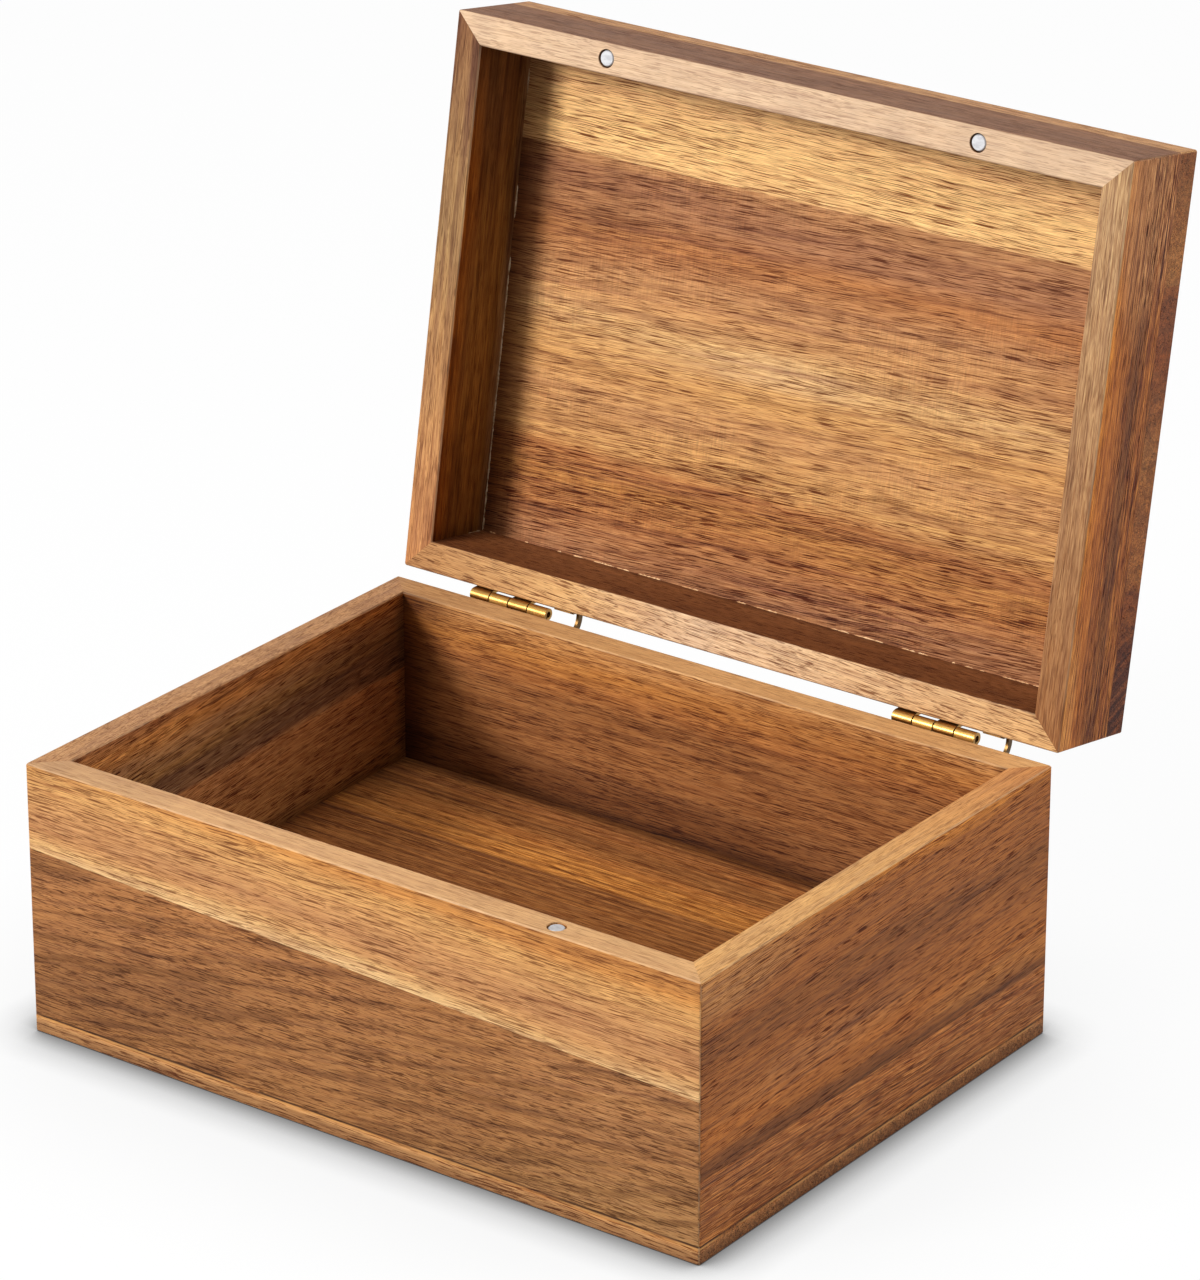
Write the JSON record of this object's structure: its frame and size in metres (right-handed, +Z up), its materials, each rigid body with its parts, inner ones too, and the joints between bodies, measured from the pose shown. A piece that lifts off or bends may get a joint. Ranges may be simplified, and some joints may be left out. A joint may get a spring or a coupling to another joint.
{
  "type": "dice box with hinged lid",
  "caption": "Small mitred wooden dice box, lid held open just past upright by brass stop hinges, magnets in the front rims.",
  "frame": {"origin": "centre of the underside of the base", "axes": "+Z up, -Y towards the front, +X towards the right as seen from the front"},
  "size_m": [0.25, 0.2532, 0.2718],
  "materials": {
    "wood_front_upper": "satin",
    "wood_front_lower": "satin",
    "wood_right_upper": "satin",
    "wood_right_lower": "satin",
    "wood_left_upper": "satin",
    "wood_left_lower": "satin",
    "wood_back": "satin",
    "wood_plate": "satin",
    "wood_floor": "satin",
    "wood_lid_front": "satin",
    "wood_lid_back": "satin",
    "wood_lid_left": "satin",
    "wood_lid_right": "satin",
    "wood_lid_top_front": "satin",
    "wood_lid_top_rear": "satin",
    "hinge_brass": "polished",
    "hinge_pin": "satin",
    "screw_brass": "satin",
    "magnet": "satin"
  },
  "bodies": {
    "base": {"base_front_upper_board": "wood_front_upper", "base_front_lower_board": "wood_front_lower", "base_right_upper_board": "wood_right_upper", "base_right_lower_board": "wood_right_lower", "base_left_upper_board": "wood_left_upper", "base_left_lower_board": "wood_left_lower", "base_back_wall": "wood_back", "base_bottom_plate": "wood_plate", "base_floor_panel": "wood_floor", "base_magnet_right": "magnet", "left_hinge_base_leaf": "hinge_brass", "left_hinge_pin": "hinge_pin", "left_hinge_base_screws": "screw_brass", "right_hinge_base_leaf": "hinge_brass", "right_hinge_pin": "hinge_pin", "right_hinge_base_screws": "screw_brass"},
    "lid": {"lid_front_wall": "wood_lid_front", "lid_back_wall": "wood_lid_back", "lid_left_wall": "wood_lid_left", "lid_right_wall": "wood_lid_right", "lid_top_front_board": "wood_lid_top_front", "lid_top_rear_board": "wood_lid_top_rear", "lid_magnet_left": "magnet", "lid_magnet_right": "magnet", "left_hinge_lid_leaf": "hinge_brass", "left_hinge_lid_screws": "screw_brass", "right_hinge_lid_leaf": "hinge_brass", "right_hinge_lid_screws": "screw_brass"}
  },
  "joints": [
    {"name": "lid_hinge", "type": "hinge", "parent": "base", "child": "lid", "pos_m": [0, 0.0936, 0.09015], "axis": [-1, 0, 0], "range_deg": [-100, 0]}
  ]
}
